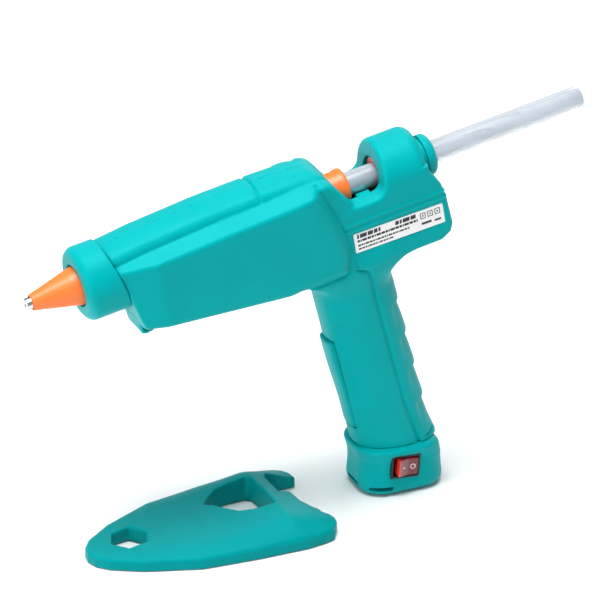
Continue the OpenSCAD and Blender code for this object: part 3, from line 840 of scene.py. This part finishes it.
def translucent(name, colour, rough):
    """Cloudy hot-melt glue: part see-through, with faint streaks along the stick."""
    material, nodes, links, base = shader(name)
    where = nodes.new("ShaderNodeTexCoord").outputs["Object"]
    stretch = nodes.new("ShaderNodeMapping")
    stretch.inputs["Scale"].default_value = (0.05, 1, 1)
    stretch.inputs["Rotation"].default_value = (0, BARREL_TILT, 0)
    links.new(where, stretch.inputs["Vector"])
    streaks = noise(nodes, links, stretch.outputs["Vector"], 320, 3)
    pale = [min(1, c * 1.12) for c in colour]
    tint = mix_colour(nodes, links, remap(nodes, links, streaks, 0.35, 0.65, 0, 1), colour, pale)
    links.new(tint, base.inputs["Base Color"])
    links.new(remap(nodes, links, streaks, 0.3, 0.7, rough - 0.06, rough + 0.1), base.inputs["Roughness"])
    base.inputs["Transmission Weight"].default_value = 0.45
    base.inputs["Subsurface Weight"].default_value = 0.6
    base.inputs["Subsurface Radius"].default_value = (0.004, 0.004, 0.005)
    base.inputs["Subsurface Scale"].default_value = 1.0
    base.inputs["IOR"].default_value = 1.45
    return material


SEA_GLOSS = (0.15, 1, 1)      # the casing's resin tints its own gloss
TEAL = plastic(
    "teal_plastic", (0.0, 0.36, 0.37), (0.0, 0.47, 0.48), 0.46, specular=0.2, tint_of_gloss=SEA_GLOSS
)
PLATE_TEAL = plastic(
    "plate_teal", (0.0, 0.28, 0.29), (0.0, 0.36, 0.36), 0.5, specular=0.16, tint_of_gloss=SEA_GLOSS
)
SILICONE = plastic("orange_silicone", (1.0, 0.19, 0.03), (1.0, 0.3, 0.1), 0.38, grain=1200, specular=0.5)
NICKEL = metal("nickel_plate", (0.78, 0.78, 0.8), 0.24, (1, 1, 1), 260)
GLUE = translucent("cloudy_glue", (0.5, 0.55, 0.6), 0.3)
STEEL = metal("zinc_plated_steel", (0.62, 0.63, 0.65), 0.32, (1, 1, 6), 1500)
ALLOY = metal("cast_alloy", (0.66, 0.67, 0.68), 0.5, (1, 1, 1), 1200)
CERAMIC = plastic("fired_ceramic", (0.85, 0.83, 0.78), (0.9, 0.89, 0.85), 0.6, grain=3500)
RED_NYLON = plastic("red_nylon", (0.72, 0.045, 0.025), (0.85, 0.12, 0.08), 0.32, grain=1800)
BLACK = plastic("black_plastic", (0.014, 0.014, 0.015), (0.05, 0.05, 0.05), 0.35, grain=2400)
GLASS_FILLED = plastic(
    "glass_filled_black", (0.03, 0.03, 0.03), (0.08, 0.08, 0.08), 0.62, grain=4200, depth=0.00008
)
TERMINAL = plastic("terminal_white", (0.8, 0.79, 0.74), (0.86, 0.85, 0.82), 0.45)
INSULATION = plastic("wire_insulation", (0.6, 0.07, 0.04), (0.7, 0.15, 0.1), 0.4, grain=1500)
LABEL_FILM = film("label_film", (0.9, 0.9, 0.9), 0.35)
LABEL_INK = film("label_ink", (0.015, 0.015, 0.017), 0.4)
MARK_WHITE = film("mark_white", (0.85, 0.62, 0.6), 0.5)
ROCKER_RED = red_lens("rocker_red_lens")

CAD_FINISHES = {
    "melt_chamber": ALLOY, "chamber_supports": GLASS_FILLED, "heater_element": CERAMIC, "heater_clip": STEEL,
    "sleeve_clip": STEEL, "thermal_fuse": CERAMIC, "casing_screws": STEEL, "terminal_block": TERMINAL,
    "lead_wires": INSULATION, "cord_gland": BLACK, "trigger_pin": STEEL, "return_spring": STEEL,
    "feed_lever": STEEL, "lever_pin": STEEL, "feed_carriage": RED_NYLON, "drive_pin": STEEL,
    "clamp_jaw": STEEL, "jaw_pin": STEEL
}
for node_name, finish in CAD_FINISHES.items():
    for material_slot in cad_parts[node_name].material_slots:
        material_slot.material = finish

make_camera()
make_stage()


def place(piece, body, node, slot, material):
    """Finishes a piece that stands for one CAD node."""
    piece.data.materials.append(material)
    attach(piece, body)
    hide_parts(node)


left_shell, right_shell = build_casing()
place(left_shell, "housing", "left_shell", "casing_teal", TEAL)
place(right_shell, "housing", "right_shell", "casing_teal", TEAL)
place(collar(), "housing", "nose_collar", "casing_teal", TEAL)
place(foot(), "housing", "base_cap", "casing_teal", TEAL)
place(rest_plate(), "plate", "rest_plate", "casing_teal", PLATE_TEAL)
place(nozzle(), "housing", "nozzle_tip", "nozzle_metal", NICKEL)
place(cone(), "housing", "nozzle_cover", "silicone_orange", SILICONE)
place(inlet_sleeve(), "housing", "stick_sleeve", "silicone_orange", SILICONE)
place(rear_ring(), "housing", "rear_guide", "casing_teal", TEAL)
place(stick(), "stick", "glue_stick", "glue", GLUE)
place(trigger_lever(), "trigger", "trigger", "casing_teal", TEAL)
place(switch_bezel(), "housing", "switch_housing", "black_plastic", BLACK)
place(rocker_body(), "rocker", "rocker", "rocker_red", ROCKER_RED)

marks = rocker_marks()
marks.data.materials.append(MARK_WHITE)
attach(marks, "rocker")
film_label = label()
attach(film_label, "housing")
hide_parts("rating_label")
